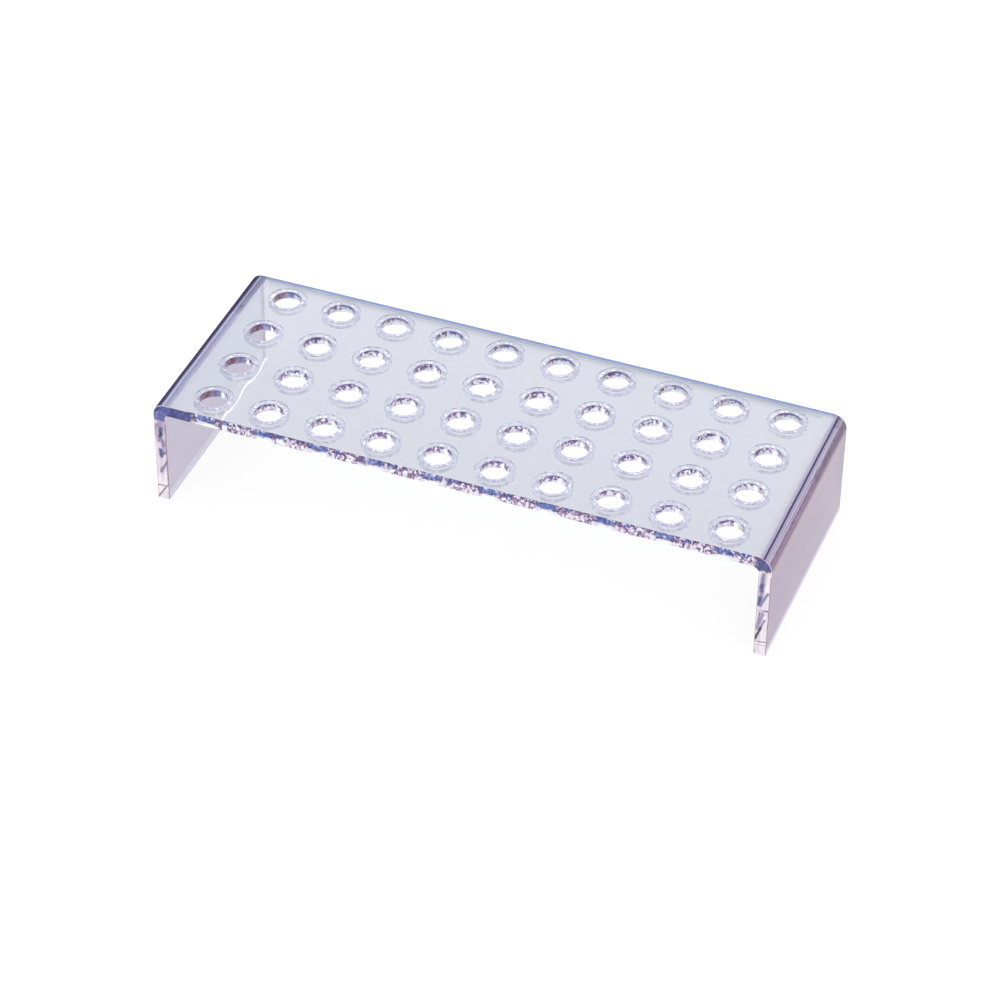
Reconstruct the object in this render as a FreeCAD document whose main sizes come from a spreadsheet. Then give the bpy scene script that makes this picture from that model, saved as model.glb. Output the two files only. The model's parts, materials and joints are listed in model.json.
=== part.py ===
import FreeCAD, Part
import math
import os
import Sketcher

# Microcentrifuge tube rack: one clear acrylic sheet, drilled with a grid of holes for the
# tubes and bent down by heat at both short ends, into two legs.
# +Z is up, X runs along the rack and Y across it. The origin is on the surface that the
# feet stand on, below the middle of the rack. All lengths are in millimetres.

DIMENSIONS = [
    ("sheet_thickness", 5.0, "the acrylic sheet"),
    ("rack_length", 253.0, "from the outside of one leg to the outside of the other"),
    ("rack_width", 94.0, "from one cut edge of the sheet to the other"),
    ("rack_height", 47.0, "from the bench to the top of the sheet"),
    ("left_inside_radius", 1.2, "inside of the bend at -X, bent the tighter"),
    ("left_outside_radius", 4.8, "outside of the bend at -X"),
    ("right_inside_radius", 3.0, "inside of the bend at +X"),
    ("right_outside_radius", 6.0, "outside of the bend at +X"),
    ("foot_rounding", 0.6, "long edges of both feet, sanded"),
    ("edge_break", 0.35, "chamfer round both cut edges of the sheet"),
    ("hole_columns", 10, "holes along X"),
    ("hole_rows", 4, "holes along Y"),
    ("hole_pitch", 23.5, "from hole to hole, both ways"),
    ("hole_diameter", 11.2, "clear of the body of a 1.5 ml tube"),
    ("seat_diameter", 15.8, "shallow flat seat round a hole's mouth, where a cap rests"),
    ("seat_depth", 0.2, "how far that seat is sunk into the top"),
    ("countersink_diameter", 14.7, "widest circle of the countersink under a hole"),
    ("countersink_depth", 1.7, "how far up the countersink goes"),
    ("tool_overrun", 2.0, "how far the drill's profile reaches past the sheet"),
]

# How the sketcher numbers a line's ends, and a sketch's own origin point and axes.
START, END = 1, 2
ORIGIN_POINT = (-1, 1)
SKETCH_X_AXIS = -1
SKETCH_Y_AXIS = -2


def makeSheet(doc):
    """The spreadsheet of driving dimensions: a name, a number and a note in each row."""
    sheet = doc.addObject("Spreadsheet::Sheet", "dimensions")
    for row, (alias, value, note) in enumerate(DIMENSIONS, start=1):
        sheet.set(f"A{row}", alias)
        sheet.set(f"B{row}", str(value))
        sheet.set(f"C{row}", note)
        sheet.setAlias(f"B{row}", alias)
    doc.recompute()
    return sheet


def originFeature(body, role):
    """One of a body's own origin planes or axes, such as XZ_Plane."""
    return next(item for item in body.Origin.OriginFeatures if item.Role == role)


def addSketch(body, name, corners):
    """A sketch on the upright XZ plane, with a closed outline of lines through the corners."""
    sketch = body.newObject("Sketcher::SketchObject", name)
    sketch.AttachmentSupport = [(originFeature(body, "XZ_Plane"), "")]
    sketch.MapMode = "FlatFace"
    starts = [FreeCAD.Vector(x, z, 0) for x, z in corners]
    ends = starts[1:] + starts[:1]
    lines = [sketch.addGeometry(Part.LineSegment(a, b), False) for a, b in zip(starts, ends)]
    for line, following in zip(lines, lines[1:] + lines[:1]):
        sketch.addConstraint(Sketcher.Constraint("Coincident", line, END, following, START))
    for line, a, b in zip(lines, starts, ends):
        if math.isclose(a.x, b.x):
            sketch.addConstraint(Sketcher.Constraint("Vertical", line))
        elif math.isclose(a.y, b.y):
            sketch.addConstraint(Sketcher.Constraint("Horizontal", line))
    return sketch, lines


def bindDistance(sketch, name, direction, first, second, expression):
    """A named distance between two points of a sketch, driven by a cell of the spreadsheet."""
    index = sketch.addConstraint(Sketcher.Constraint(direction, *first, *second, 1.0))
    sketch.renameConstraint(index, name)
    sketch.setExpression(f"Constraints.{name}", f"dimensions.{expression}")


def drawFoldedOutline(body, sheet):
    """The rack seen from a cut edge: a flat top between two legs, its corners still sharp."""
    half = sheet.rack_length / 2
    height = sheet.rack_height
    thick = sheet.sheet_thickness
    sketch, lines = addSketch(
        body,
        "folded_outline",
        [
            (-half, 0),
            (-half, height),
            (half, height),
            (half, 0),
            (half - thick, 0),
            (half - thick, height - thick),
            (thick - half, height - thick),
            (thick - half, 0),
        ],
    )
    outerLeft, top, outerRight, footRight, innerRight, under, innerLeft, footLeft = lines
    sketch.addConstraint(
        Sketcher.Constraint("Symmetric", outerLeft, START, outerRight, END, *ORIGIN_POINT)
    )
    sketch.addConstraint(Sketcher.Constraint("PointOnObject", footLeft, START, SKETCH_X_AXIS))
    distances = [
        ("length", "DistanceX", (top, START), (top, END), "rack_length"),
        ("height", "DistanceY", (outerLeft, START), (outerLeft, END), "rack_height"),
        ("left_leg", "DistanceX", (footLeft, END), (footLeft, START), "sheet_thickness"),
        ("right_leg", "DistanceX", (footRight, END), (footRight, START), "sheet_thickness"),
        ("top_plate", "DistanceY", (under, START), (top, END), "sheet_thickness"),
    ]
    for distance in distances:
        bindDistance(sketch, *distance)
    return sketch


def addFold(body, sketch):
    """The outline padded to the rack's width, half to each side of the XZ plane."""
    pad = body.newObject("PartDesign::Pad", "folded_pad")
    pad.Profile = sketch
    pad.SideType = "Symmetric"
    pad.setExpression("Length", "dimensions.rack_width")
    body.Tip = pad
    return pad


def edgesAcross(shape, x, z):
    """Names of the edges that run along Y through (x, z)."""
    found = []
    for number, edge in enumerate(shape.Edges, start=1):
        ends = [vertex.Point for vertex in edge.Vertexes]
        if all(math.hypot(point.x - x, point.z - z) < 1e-6 for point in ends):
            found.append(f"Edge{number}")
    return found


def roundEdges(body, name, places, radius):
    """A fillet on the edges along Y at these (x, z) places of the body so far."""
    before = body.Tip
    fillet = body.newObject("PartDesign::Fillet", name)
    fillet.Base = (before, [edge for x, z in places for edge in edgesAcross(before.Shape, x, z)])
    fillet.setExpression("Radius", radius)
    body.Tip = fillet
    body.Document.recompute()


def bendCorners(body, sheet):
    """Rounds both bends, inside and outside. The soft sheet is a little thicker there."""
    thick = sheet.sheet_thickness
    for side, name in ((-1, "left"), (1, "right")):
        outside = (side * sheet.rack_length / 2, sheet.rack_height)
        inside = (side * (sheet.rack_length / 2 - thick), sheet.rack_height - thick)
        for face, place in (("inside", inside), ("outside", outside)):
            roundEdges(body, f"{name}_bend_{face}", [place], f"dimensions.{name}_{face}_radius")


def roundFeet(body, sheet):
    """Takes the sharpness off the long edges that the rack stands on."""
    outer = sheet.rack_length / 2
    inner = outer - sheet.sheet_thickness
    places = [(x, 0) for x in (-outer, -inner, inner, outer)]
    roundEdges(body, "foot_rounding", places, "dimensions.foot_rounding")


def breakCutEdges(body, sheet):
    """A fine chamfer all round both cut edges, front and back."""
    before = body.Tip
    half = sheet.rack_width / 2
    names = [
        f"Edge{number}"
        for number, edge in enumerate(before.Shape.Edges, start=1)
        if all(math.isclose(abs(vertex.Y), half) for vertex in edge.Vertexes)
        and math.isclose(edge.BoundBox.YLength, 0, abs_tol=1e-6)
    ]
    chamfer = body.newObject("PartDesign::Chamfer", "edge_break")
    chamfer.Base = (before, names)
    chamfer.setExpression("Size", "dimensions.edge_break")
    body.Tip = chamfer
    body.Document.recompute()


def drawDrill(body, sheet):
    """Half the section of one hole, to be turned about its own axis.

    From below: countersink, bore, flat seat. It is the hole nearest the corner at -X and -Y.
    """
    bore = sheet.hole_diameter / 2
    seat = sheet.seat_diameter / 2
    sink = sheet.countersink_diameter / 2
    top = sheet.rack_height
    under = top - sheet.sheet_thickness
    sketch, lines = addSketch(
        body,
        "drill_profile",
        [
            (0, under - sheet.tool_overrun),
            (sink, under - sheet.tool_overrun),
            (sink, under),
            (bore, under + sheet.countersink_depth),
            (bore, top - sheet.seat_depth),
            (seat, top - sheet.seat_depth),
            (seat, top + sheet.tool_overrun),
            (0, top + sheet.tool_overrun),
        ],
    )
    _, lowSide, _, boreWall, _, seatWall, _, axis = lines
    sketch.addConstraint(Sketcher.Constraint("PointOnObject", axis, START, SKETCH_Y_AXIS))
    sinkEdge = (lowSide, END)
    underFace = "rack_height - dimensions.sheet_thickness"
    seatFace = "rack_height - dimensions.seat_depth"
    distances = [
        ("under_face", "DistanceY", ORIGIN_POINT, sinkEdge, underFace),
        ("countersink", "DistanceY", sinkEdge, (boreWall, START), "countersink_depth"),
        ("seat_face", "DistanceY", ORIGIN_POINT, (seatWall, START), seatFace),
        ("bore_radius", "DistanceX", ORIGIN_POINT, (boreWall, START), "hole_diameter / 2"),
        ("seat_radius", "DistanceX", ORIGIN_POINT, (seatWall, START), "seat_diameter / 2"),
        ("countersink_radius", "DistanceX", ORIGIN_POINT, sinkEdge, "countersink_diameter / 2"),
        ("overrun_above", "DistanceY", (seatWall, START), (seatWall, END), "tool_overrun"),
        ("overrun_below", "DistanceY", (lowSide, START), sinkEdge, "tool_overrun"),
    ]
    for distance in distances:
        bindDistance(sketch, *distance)
    pitch = "dimensions.hole_pitch"
    sketch.setExpression(".AttachmentOffset.Base.x", f"-(dimensions.hole_columns - 1) / 2 * {pitch}")
    sketch.setExpression(".AttachmentOffset.Base.z", f"(dimensions.hole_rows - 1) / 2 * {pitch}")
    return sketch


def drillHoles(body, sketch):
    """One hole turned out of the sheet, then repeated along X and Y for the whole grid."""
    hole = body.newObject("PartDesign::Groove", "tube_hole")
    hole.Profile = sketch
    hole.ReferenceAxis = (sketch, ["V_Axis"])
    hole.Angle = 360
    body.Tip = hole
    body.Document.recompute()
    grid = body.newObject("PartDesign::LinearPattern", "hole_grid")
    grid.Originals = [hole]
    grid.Direction = (originFeature(body, "X_Axis"), [""])
    grid.Direction2 = (originFeature(body, "Y_Axis"), [""])
    for second, count in (("", "hole_columns"), ("2", "hole_rows")):
        grid.setExpression(f"Occurrences{second}", f"dimensions.{count}")
        grid.setExpression(f"Length{second}", f"(dimensions.{count} - 1) * dimensions.hole_pitch")
    body.Tip = grid
    body.Document.recompute()


def buildSheet(doc, sheet):
    """The whole rack, one solid."""
    body = doc.addObject("PartDesign::Body", "folded_sheet")
    body.Label = "folded_sheet"
    outline = drawFoldedOutline(body, sheet)
    addFold(body, outline)
    doc.recompute()
    bendCorners(body, sheet)
    roundFeet(body, sheet)
    breakCutEdges(body, sheet)
    drillHoles(body, drawDrill(body, sheet))
    return body


def removedByHole(sheet):
    """What one hole takes out of the sheet: a flat seat, a straight bore and a cone."""
    bore = sheet.hole_diameter / 2
    seat = sheet.seat_diameter / 2
    sink = sheet.countersink_diameter / 2
    wall = sheet.sheet_thickness - sheet.seat_depth - sheet.countersink_depth
    cone = sheet.countersink_depth * (bore**2 + bore * sink + sink**2) / 3
    return math.pi * (bore**2 * wall + seat**2 * sheet.seat_depth + cone)


def check(doc, body, sheet):
    """Stops before anything is written if a feature failed or the holes aren't all there."""
    for item in doc.Objects:
        if {"Invalid", "Error"} & set(item.State):
            raise RuntimeError(f"{item.Name} is {item.State}")
    if body.Shape.isNull() or not body.Shape.isValid() or len(body.Shape.Solids) != 1:
        raise RuntimeError("the sheet isn't one valid solid")
    holes = sheet.hole_columns * sheet.hole_rows
    cut = doc.getObject("edge_break").Shape.Volume - body.Shape.Volume
    expected = holes * removedByHole(sheet)
    print(f"{holes} holes take out {cut:.1f} mm3, {expected:.1f} expected")
    if not math.isclose(cut, expected, rel_tol=1e-4):
        raise RuntimeError("the grid of holes isn't whole")


doc = FreeCAD.newDocument("tube_rack")
sheet = makeSheet(doc)
body = buildSheet(doc, sheet)
check(doc, body, sheet)
os.makedirs("parts", exist_ok=True)
body.Shape.exportStep(f"parts/{body.Label}.step")
print(f"{body.Label}: {body.Shape.BoundBox}, {body.Shape.Volume:.0f} mm3")
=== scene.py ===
import json
import math
import bmesh
import bpy
from mathutils import Matrix, Vector, noise


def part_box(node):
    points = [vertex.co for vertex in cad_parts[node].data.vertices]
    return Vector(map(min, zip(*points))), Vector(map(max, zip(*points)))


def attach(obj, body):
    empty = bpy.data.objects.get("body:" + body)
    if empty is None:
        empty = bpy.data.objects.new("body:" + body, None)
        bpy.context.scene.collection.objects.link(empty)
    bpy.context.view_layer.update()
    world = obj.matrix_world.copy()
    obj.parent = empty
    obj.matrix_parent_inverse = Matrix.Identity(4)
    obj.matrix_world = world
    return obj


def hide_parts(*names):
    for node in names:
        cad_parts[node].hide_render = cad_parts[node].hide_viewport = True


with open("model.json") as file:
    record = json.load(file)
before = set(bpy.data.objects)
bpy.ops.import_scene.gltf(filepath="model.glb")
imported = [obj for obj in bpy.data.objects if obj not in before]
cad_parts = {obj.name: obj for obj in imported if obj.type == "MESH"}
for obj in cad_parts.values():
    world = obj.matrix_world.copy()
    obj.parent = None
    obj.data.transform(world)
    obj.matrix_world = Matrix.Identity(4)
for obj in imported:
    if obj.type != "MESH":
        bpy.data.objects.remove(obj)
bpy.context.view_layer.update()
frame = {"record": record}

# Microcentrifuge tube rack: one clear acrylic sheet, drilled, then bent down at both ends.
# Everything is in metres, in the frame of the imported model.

mm = 0.001
scene = bpy.context.scene

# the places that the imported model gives
low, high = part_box("folded_sheet")
bores = [m for m in frame["record"]["mounts"] if m["kind"] == "bore"]
columnX = sorted({round(m["pos_m"][0], 6) for m in bores})
rowY = sorted({round(m["pos_m"][1], 6) for m in bores})
boreRadius = bores[0]["dims"]["r_mm"] * mm
pitch = columnX[1] - columnX[0]

sheet = {
    "thickness": 5.0 * mm,
    "insideRadius": {-1: 1.2 * mm, 1: 3.0 * mm},
    "outsideRadius": {-1: 4.8 * mm, 1: 6.0 * mm},
    "edgeBreak": 0.35 * mm,
    "footRounding": 0.6 * mm,
    "seatRadius": 7.9 * mm,
    "seatDepth": 0.2 * mm,
    "sinkRadius": 7.35 * mm,       # countersink, widest circle
    "sinkDepth": 1.7 * mm,
    "stepsPerSide": 18,            # round a hole, for each side of its square cell
    "cellRings": 3,                # between that square and the circle in it
    "boreSteps": 7,
    "sinkSteps": 3,
    "bendSteps": 8,
    "legSteps": 9,
    "runSteps": 3,                 # flat strips between the outer holes and the bends
    "edgeRows": 9,                 # across the thickness, on a cut edge
    "cutGrain": 0.55 * mm,         # length of a facet along a cut edge
    "sharpAngle": 22.0,            # degrees: faces that meet at more than this meet in a crisp line
    "weld": 0.002 * mm,            # points closer than this are one
    "close": 0.01 * mm,            # this near a face counts as on it
}
underside = high.z - sheet["thickness"]
innerX = high.x - sheet["thickness"]       # the inner faces of the legs
topEnd = abs(columnX[0]) + pitch / 2       # where the squares of sheet round the holes end


def lerp(a, b, t):
    return a + (b - a) * t


def squareSteps(a, b, count):
    # places along a cell's side, where equal angles from the middle of the cell meet it
    places = []
    for i in range(count + 1):
        angle = math.radians(lerp(-45, 45, i / count))
        places.append(lerp(a, b, 0.5 + 0.5 * math.tan(angle)))
    return places


class Skin:
    # collects patches of quads, to be welded into one closed surface
    def __init__(self):
        self.mesh = bmesh.new()

    def patch(self, rows):
        made = [[self.mesh.verts.new(p) for p in row] for row in rows]
        for upper, lower in zip(made, made[1:]):
            for i in range(len(upper) - 1):
                self.mesh.faces.new((upper[i], upper[i + 1], lower[i + 1], lower[i]))

    def band(self, coarse, fine):
        # joins an edge to a finer one: fine is a list of points for each step of coarse
        for i, points in enumerate(fine):
            a, b = self.mesh.verts.new(coarse[i]), self.mesh.verts.new(coarse[i + 1])
            made = [self.mesh.verts.new(p) for p in points]
            middle = len(made) // 2
            for j in range(len(made) - 1):
                self.mesh.faces.new((a if j < middle else b, made[j], made[j + 1]))
            self.mesh.faces.new((a, made[middle], b))


def stations():
    # steps along the sheet from the left foot to the right one, as (stretch, share of it)
    stops = [("leg", -1, i / sheet["legSteps"]) for i in range(sheet["legSteps"])]
    stops += [("bend", -1, i / sheet["bendSteps"]) for i in range(sheet["bendSteps"])]
    stops += [("run", -1, i / sheet["runSteps"]) for i in range(sheet["runSteps"])]
    for x in columnX:
        steps = squareSteps(x - pitch / 2, x + pitch / 2, sheet["stepsPerSide"])
        stops += [("top", 0, place) for place in steps[:-1]]
    stops += [("run", 1, 1 - i / sheet["runSteps"]) for i in range(sheet["runSteps"])]
    stops += [("bend", 1, 1 - i / sheet["bendSteps"]) for i in range(sheet["bendSteps"])]
    stops += [("leg", 1, 1 - i / sheet["legSteps"]) for i in range(sheet["legSteps"] + 1)]
    return stops


def sheetPoint(stop, outside, inset):
    # (x, z) on the outer or the inner face of the folded sheet, moved into it by inset
    kind, side, share = stop
    depth = inset if outside else sheet["thickness"] - inset
    z = high.z - depth
    if kind == "top":
        return share, z
    end = high.x
    if outside:
        radius, middle = sheet["outsideRadius"][side] - inset, sheet["outsideRadius"][side]
    else:
        radius = sheet["insideRadius"][side] + inset
        middle = sheet["insideRadius"][side] + sheet["thickness"]
    if kind == "run":
        return side * lerp(end - middle, topEnd, share), z
    if kind == "bend":
        angle = share * math.pi / 2
        return side * (end - middle + radius * math.cos(angle)), high.z - middle + radius * math.sin(angle)
    return side * (end - depth), lerp(sheet["footRounding"], high.z - middle, share)


def footPoints(side, inset):
    # the rounded lower end of a leg, from its outer face to its inner one
    rounding = sheet["footRounding"]
    radius = rounding - inset
    outer, inner = high.x - rounding, innerX + rounding
    third = sheet["edgeRows"] // 3
    points = []
    for i in range(third):
        angle = math.radians(90 * i / third)
        points.append((outer + radius * math.cos(angle), rounding - radius * math.sin(angle)))
    points += [(lerp(outer, inner, i / third), inset) for i in range(third)]
    for i in range(third + 1):
        angle = math.radians(90 - 90 * i / third)
        points.append((inner - radius * math.cos(angle), rounding - radius * math.sin(angle)))
    return [(side * x, z) for x, z in points]


def refine(stop, following):
    # the stops between two stations, close enough for the grain of a cut edge
    a, b = Vector(sheetPoint(stop, True, 0)), Vector(sheetPoint(following, True, 0))
    count = max(1, round((b - a).length / sheet["cutGrain"]))
    kind, side, share = stop
    if following[0] == kind:
        end = following[2]
    elif kind == "top":
        end = topEnd
    else:
        end = 1 if side < 0 else 0
    return [(kind, side, lerp(share, end, i / count)) for i in range(count)]


def holeCell(skin, x, y, yLow, yHigh):
    # one hole and the square of sheet round it: top, seat, bore, countersink, underside
    count = sheet["stepsPerSide"]
    xs = squareSteps(x - pitch / 2, x + pitch / 2, count)
    ys = squareSteps(yLow, yHigh, count)
    square = [(xs[0], ys[i]) for i in range(count, 0, -1)]
    square += [(xs[i], ys[0]) for i in range(count)]
    square += [(xs[count], ys[i]) for i in range(count)]
    square += [(xs[i], ys[count]) for i in range(count, 0, -1)]
    square.append(square[0])
    around = [math.radians(135 + 90 * i / count) for i in range(4 * count + 1)]

    def ring(radius, z):
        return [(x + radius * math.cos(a), y + radius * math.sin(a), z) for a in around]

    def spread(radius, z):
        rows = []
        for k in range(sheet["cellRings"] + 1):
            share = k / sheet["cellRings"]
            circle = ring(radius, z)
            rows.append([
                (lerp(sx, cx, share), lerp(sy, cy, share), z)
                for (sx, sy), (cx, cy, _) in zip(square, circle)
            ])
        return rows

    seat, sinkTop = high.z - sheet["seatDepth"], underside + sheet["sinkDepth"]
    skin.patch(spread(sheet["seatRadius"], high.z))
    skin.patch([ring(sheet["seatRadius"], high.z), ring(sheet["seatRadius"], seat)])
    skin.patch([ring(sheet["seatRadius"], seat), ring(boreRadius, seat)])
    down = [i / sheet["boreSteps"] for i in range(sheet["boreSteps"] + 1)]
    skin.patch([ring(boreRadius, lerp(seat, sinkTop, share)) for share in down])
    down = [i / sheet["sinkSteps"] for i in range(sheet["sinkSteps"] + 1)]
    radii = [lerp(boreRadius, sheet["sinkRadius"], share) for share in down]
    heights = [lerp(sinkTop, underside, share) for share in down]
    skin.patch([ring(radius, z) for radius, z in zip(radii, heights)])
    skin.patch(spread(sheet["sinkRadius"], underside)[::-1])


def buildSkin():
    skin = Skin()
    edge = sheet["edgeBreak"]
    yEnd = high.y - edge
    borders = [-yEnd] + [(a + b) / 2 for a, b in zip(rowY, rowY[1:])] + [yEnd]
    across = []
    for y, yLow, yHigh in zip(rowY, borders, borders[1:]):
        across += squareSteps(yLow, yHigh, sheet["stepsPerSide"])[:-1]
        for x in columnX:
            holeCell(skin, x, y, yLow, yHigh)
    across.append(yEnd)

    stops = stations()
    firstTop = next(i for i, stop in enumerate(stops) if stop[0] == "top")
    lastTop = next(i for i, stop in enumerate(stops) if stop[0] == "run" and stop[1] == 1)
    for outside in (True, False):
        for part in (stops[: firstTop + 1], stops[lastTop:]):
            rows = []
            for stop in part:
                x, z = sheetPoint(stop, outside, 0)
                rows.append([(x, y, z) for y in across])
            skin.patch(rows)
    for side in (-1, 1):
        skin.patch([[(x, y, z) for y in across] for x, z in footPoints(side, 0)])

    fine = [refine(a, b) for a, b in zip(stops, stops[1:])]
    flat = [stop for step in fine for stop in step] + [stops[-1]]
    for face in (-1, 1):
        yCut = face * high.y
        for outside in (True, False):
            coarse = []
            for stop in stops:
                x, z = sheetPoint(stop, outside, 0)
                coarse.append((x, face * yEnd, z))
            steps, k = [], 0
            for step in fine:
                points = []
                for stop in flat[k: k + len(step) + 1]:
                    x, z = sheetPoint(stop, outside, edge)
                    points.append((x, yCut, z))
                steps.append(points)
                k += len(step)
            skin.band(coarse, steps)
        for side in (-1, 1):
            skin.patch([
                [(x, face * yEnd, z) for x, z in footPoints(side, 0)],
                [(x, yCut, z) for x, z in footPoints(side, edge)],
            ])
        rows = [[(x, yCut, z) for x, z in footPoints(-1, edge)]]
        for stop in flat:
            a, b = Vector(sheetPoint(stop, True, edge)), Vector(sheetPoint(stop, False, edge))
            steps = [a.lerp(b, i / sheet["edgeRows"]) for i in range(sheet["edgeRows"] + 1)]
            rows.append([(p.x, yCut, p.y) for p in steps])
        rows.append([(x, yCut, z) for x, z in footPoints(1, edge)])
        skin.patch(rows)
    return skin.mesh


def finishMesh(mesh):
    # one closed surface: weld, turn the faces outwards, keep the machined corners crisp
    bmesh.ops.remove_doubles(mesh, verts=mesh.verts, dist=sheet["weld"])
    bmesh.ops.recalc_face_normals(mesh, faces=mesh.faces)
    for face in mesh.faces:
        face.smooth = True
    for line in mesh.edges:
        line.smooth = line.calc_face_angle(0) < math.radians(sheet["sharpAngle"])


unevenness = {
    "warp": 0.14 * mm,                         # slow waves in the softened sheet beside the bends
    "warpReach": 16 * mm,
    "warpFrom": topEnd + 4 * mm,
    "warpLength": (15 * mm, 19.5 * mm),        # along X and Y
    "warpPlace": 2.0,                          # another number gives other waves
    "flatness": 0.012 * mm,                    # their depth far from the bends
    "saw": {                                   # ripple of a cut edge, longer up and down than along it
        "depth": 0.045 * mm,
        "length": 1.3 * mm,
        "stretch": 0.7,
        "finer": 2.3,                          # the second, finer ripple
        "gain": 0.6,
    },
    "drill": {                                 # chatter in the bores, shorter up and down than round them
        "depth": 0.022 * mm,
        "length": 1.5 * mm,
        "stretch": 1.6,
        "finer": 2.1,
        "gain": 0.7,
    },
}


def waves(x, y):
    # 0 to 1, a smooth field over the sheet
    along, across = unevenness["warpLength"]
    return 0.5 + 0.5 * noise.noise(Vector((x / along, y / across, unevenness["warpPlace"])))


def nearBend(x):
    away = max(0.0, unevenness["warpFrom"] - abs(x))
    return math.exp(-((away / unevenness["warpReach"]) ** 2))


def ripple(tool, coarse, fine):
    # how deep the tool cut here, with a finer ripple on a coarse one
    grain = noise.noise(coarse) + 0.6 * noise.noise(fine * tool["finer"])
    return tool["depth"] * min(1.0, max(0.0, 0.5 + tool["gain"] * grain))


def weather(mesh):
    # the small departures from a perfect shape, always into the sheet
    close = sheet["close"]
    saw, drill = unevenness["saw"], unevenness["drill"]
    seat, sinkMiddle = high.z - sheet["seatDepth"], underside + 0.5 * sheet["sinkDepth"]
    for vert in mesh.verts:
        x, y, z = vert.co
        if abs(y) > high.y - close and z > sheet["footRounding"]:
            place = vert.co / saw["length"]
            depth = ripple(saw, Vector((place.x, place.z * saw["stretch"], y)), place)
            vert.co.y -= math.copysign(depth, y)
        if z > underside - close:
            share = min(1.0, (z - underside) / sheet["thickness"])
            depth = lerp(unevenness["flatness"], unevenness["warp"], nearBend(x)) * waves(x, y)
            vert.co.z -= share * depth
        if sinkMiddle < z < seat - close:
            columnAt = min(columnX, key=lambda place: abs(place - x))
            rowAt = min(rowY, key=lambda place: abs(place - y))
            away = Vector((x - columnAt, y - rowAt, 0))
            if away.length < boreRadius + close:
                place = Vector((x, y, z * drill["stretch"])) / drill["length"]
                vert.co += away.normalized() * ripple(drill, place, place)


def sortFaces(mesh):
    # material slots: 0 polished sheet, 1 sawn edges, 2 bores, 3 countersinks
    mouth, close = high.z - sheet["seatDepth"], 2 * sheet["close"]
    wall = boreRadius + 10 * sheet["close"]
    for face in mesh.faces:
        spot = face.calc_center_median()
        if abs(spot.y) > high.y - 0.8 * sheet["edgeBreak"]:
            face.material_index = 1
        elif underside + close < spot.z < mouth - close and abs(spot.x) < topEnd:
            away = math.hypot(min(abs(spot.x - c) for c in columnX), min(abs(spot.y - c) for c in rowY))
            if away < wall:
                face.material_index = 2
            elif away < sheet["sinkRadius"]:
                face.material_index = 3


mesh = buildSkin()
finishMesh(mesh)
sortFaces(mesh)
weather(mesh)
sheetMesh = bpy.data.meshes.new("tubeRackSheet")
mesh.to_mesh(sheetMesh)
mesh.free()
rack = bpy.data.objects.new("tubeRackSheet", sheetMesh)
scene.collection.objects.link(rack)
print("sheet built,", len(sheetMesh.polygons), "faces")

acrylic = {
    "ior": 1.49,
    "polish": 0.012,                       # roughness of the polished faces
    "plateTint": (0.59, 0.575, 0.64),
    # the legs' tints are painted shade: darker than the top's, darkest on the right leg
    "leftLegShadedTint": (0.485, 0.435, 0.555),
    "rightLegShadedTint": (0.24, 0.145, 0.28),
    "legTintFrom": high.x - 7 * mm,
    "legTintBlur": 2 * mm,
    "gatherTint": (0.62, 0.60, 0.74),      # light that has been turned inside the sheet
    "deepTint": (0.89, 0.89, 0.915),       # what lies behind two faces of the sheet
    "farLight": (0.30, 0.29, 0.42),        # a painted glow: light that runs on along the sheet never goes quite black
    "farBounces": (9.5, 10.5),
    "shadeCoatTint": (0.62, 0.58, 0.70),        # painted shade: a dark coat that darkens the bends, most at a shallow angle
    "arris": (0.11, 0.22, 0.78),           # the back edge gathers blue light in a thin line
    "arrisWidth": 1.7 * mm,
    "cutFaceShade": (0.43, 0.445, 0.54),           # and a soft band of painted shade in front of it: the cut face below, seen through the top
    "cutFaceShadeFrom": (high.y - 5.0 * mm, high.y - 3.0 * mm),
    "cutFaceShadeEnd": high.x - 9 * mm,
    "topSkin": 0.3 * mm,                   # both lie only this far down from the top
}


def asSeen(stops, power=1.5):
    # a part-clear surface shows its Base Color lighter than it is written, so it is written darker
    if isinstance(stops[0], float):
        return tuple(value ** power for value in stops)
    return [(place, asSeen(colour, power)) for place, colour in stops]


def newGroup(name, inputs, outputs):
    group = bpy.data.node_groups.new(name, "ShaderNodeTree")
    for label, value in inputs:
        socket = group.interface.new_socket(label, in_out="INPUT", socket_type="NodeSocketFloat")
        socket.default_value = value
    for label in outputs:
        group.interface.new_socket(label, in_out="OUTPUT", socket_type="NodeSocketFloat")
    return group, group.nodes.new("NodeGroupInput").outputs, group.nodes.new("NodeGroupOutput").inputs


def calc(tree, operation, *values, clamp=False):
    node = tree.nodes.new("ShaderNodeMath")
    node.operation = operation
    node.use_clamp = clamp
    for socket, value in zip(node.inputs, values):
        if isinstance(value, (int, float)):
            socket.default_value = value
        else:
            tree.links.new(value, socket)
    return node.outputs[0]


def plus(tree, *values):
    total = values[0]
    for value in values[1:]:
        total = calc(tree, "ADD", total, value)
    return total


def minus(tree, a, b):
    return calc(tree, "SUBTRACT", a, b)


def times(tree, *values):
    product = values[0]
    for value in values[1:]:
        product = calc(tree, "MULTIPLY", product, value)
    return product


def moreThan(tree, a, b):
    return calc(tree, "GREATER_THAN", a, b)


def lessThan(tree, a, b):
    return calc(tree, "LESS_THAN", a, b)


def within(tree, value, low, high):
    return times(tree, moreThan(tree, value, low), lessThan(tree, value, high))


def above(tree, value, limit, blur):
    # 0 up to the limit, rising to 1 over the blur
    return calc(tree, "DIVIDE", minus(tree, value, limit), blur, clamp=True)


def bothWays(tree, mask, amount):
    # a mask of 0 to 1 becomes a swing of half the amount either way
    return times(tree, minus(tree, mask, 0.5), amount)


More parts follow.
